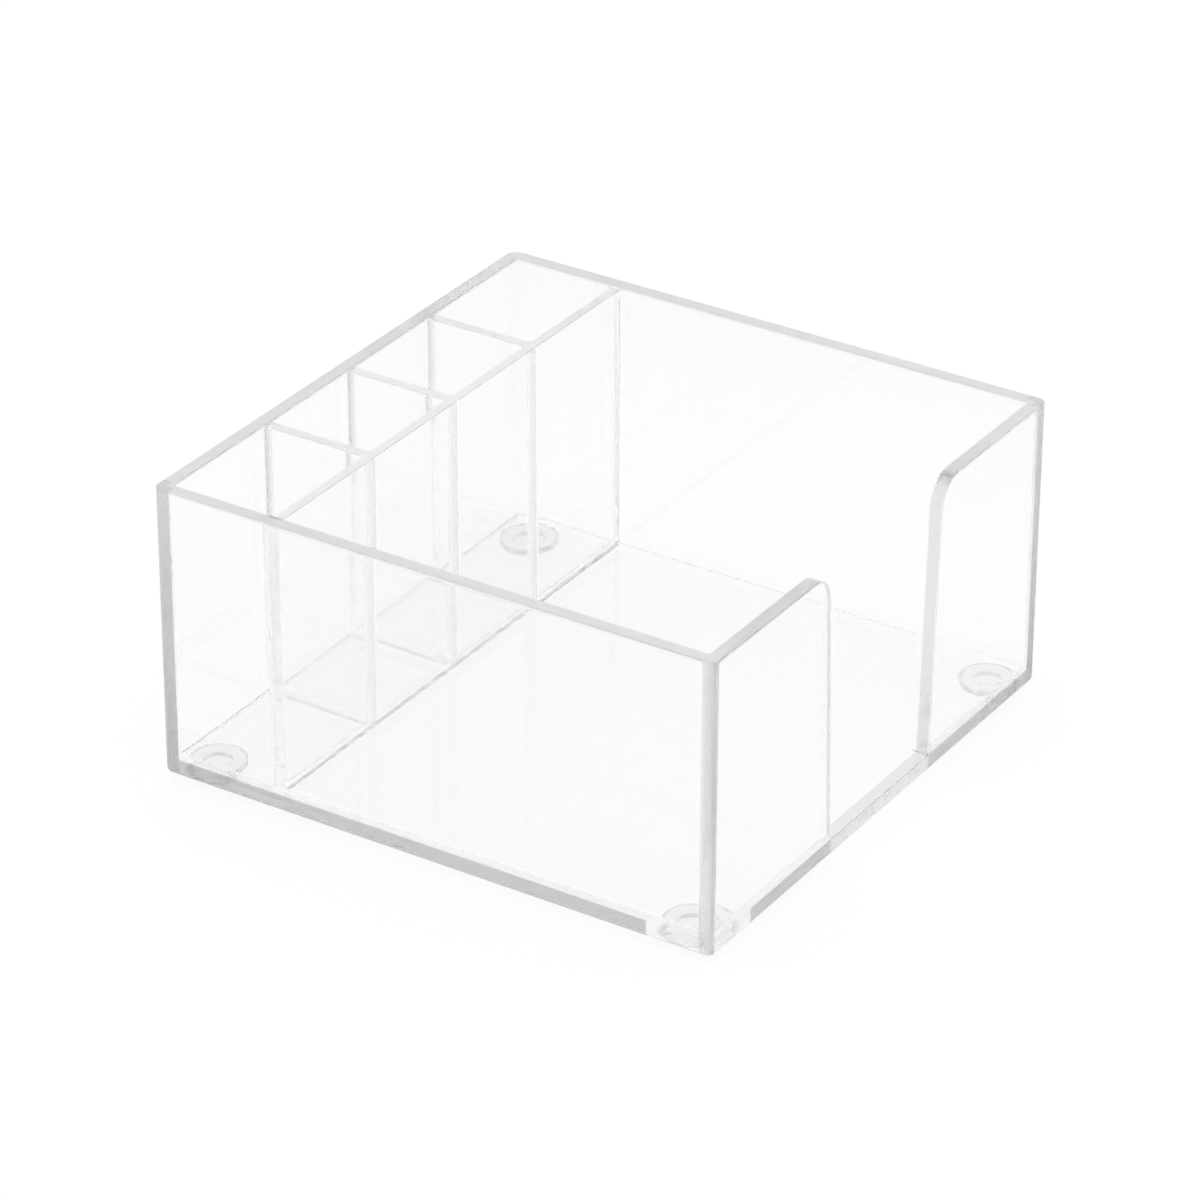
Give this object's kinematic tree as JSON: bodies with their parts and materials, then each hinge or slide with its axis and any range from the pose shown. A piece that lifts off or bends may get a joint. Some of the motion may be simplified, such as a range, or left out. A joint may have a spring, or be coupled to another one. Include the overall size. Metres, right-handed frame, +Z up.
{
  "type": "memo box with pen holder",
  "caption": "Clear moulded desk box with an open notched bay for note paper and a row of upright pen wells behind it, on round clear pads.",
  "frame": {"origin": "middle of the footprint on the surface that the pads stand on", "axes": "+X along the notched front wall, left to right seen from the front; +Y from the notched wall towards the pen wells; +Z up"},
  "size_m": [0.15, 0.151, 0.0775],
  "materials": {
    "clear_plastic": "polished clear styrene, faint grey edges",
    "clear_pad": "soft clear elastomer, smooth"
  },
  "bodies": {
    "root": {"moulded_box": "clear_plastic", "foot_front_left": "clear_pad", "foot_front_right": "clear_pad", "foot_back_left": "clear_pad", "foot_back_right": "clear_pad"}
  },
  "joints": []
}
